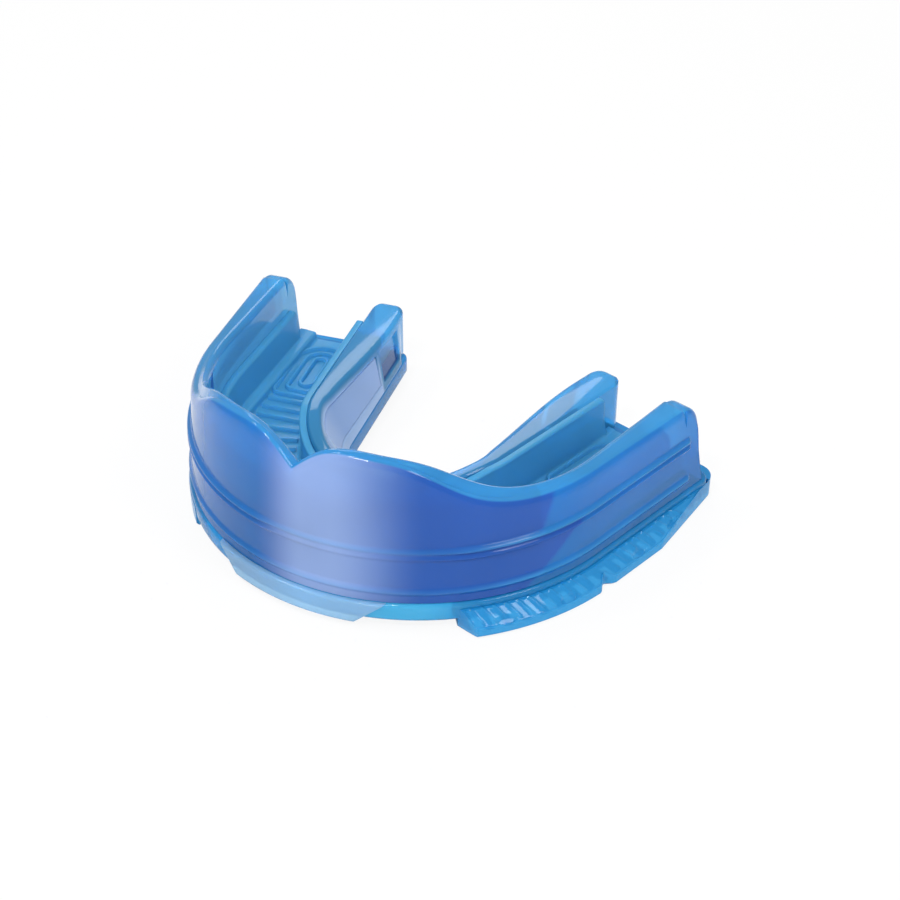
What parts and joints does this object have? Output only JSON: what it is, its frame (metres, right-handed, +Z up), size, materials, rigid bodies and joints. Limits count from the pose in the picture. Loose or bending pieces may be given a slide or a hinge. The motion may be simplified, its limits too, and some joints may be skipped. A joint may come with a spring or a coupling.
{
  "type": "mouthguard",
  "caption": "Boil-and-bite mouthguard: arch-shaped translucent tray with outer shield, lingual wall, soft tooth channel, front bumper and molar tread pads",
  "frame": {"origin": "under the middle of the part's box, at the level of the underside of the tread pads", "axes": "+Z up out of the tooth channel, -Y out of the front of the mouth, +X to the right as seen from the front"},
  "size_m": [0.061, 0.0464, 0.021],
  "materials": {
    "outer_shield": "clear blue, gloss",
    "front_insert": "clear indigo, gloss",
    "mid_rail": "clear light blue, gloss",
    "low_rail": "clear light blue, gloss",
    "bite_plate": "clear blue, gloss",
    "lingual_wall": "clear blue, gloss",
    "lingual_panel_right": "clear lavender, gloss",
    "lingual_panel_left": "clear lavender, gloss",
    "gel_liner": "clear gel, satin",
    "channel_ribs_right": "clear gel, satin",
    "channel_ribs_left": "clear gel, satin",
    "front_bumper": "clear light blue, gloss",
    "tread_pad_right": "clear cyan-blue, gloss",
    "tread_pad_left": "clear cyan-blue, gloss"
  },
  "bodies": {
    "root": {"outer_shield": "outer_shield", "front_insert": "front_insert", "mid_rail": "mid_rail", "low_rail": "low_rail", "bite_plate": "bite_plate", "lingual_wall": "lingual_wall", "lingual_panel_right": "lingual_panel_right", "lingual_panel_left": "lingual_panel_left", "gel_liner": "gel_liner", "channel_ribs_right": "channel_ribs_right", "channel_ribs_left": "channel_ribs_left", "front_bumper": "front_bumper", "tread_pad_right": "tread_pad_right", "tread_pad_left": "tread_pad_left"}
  },
  "joints": []
}
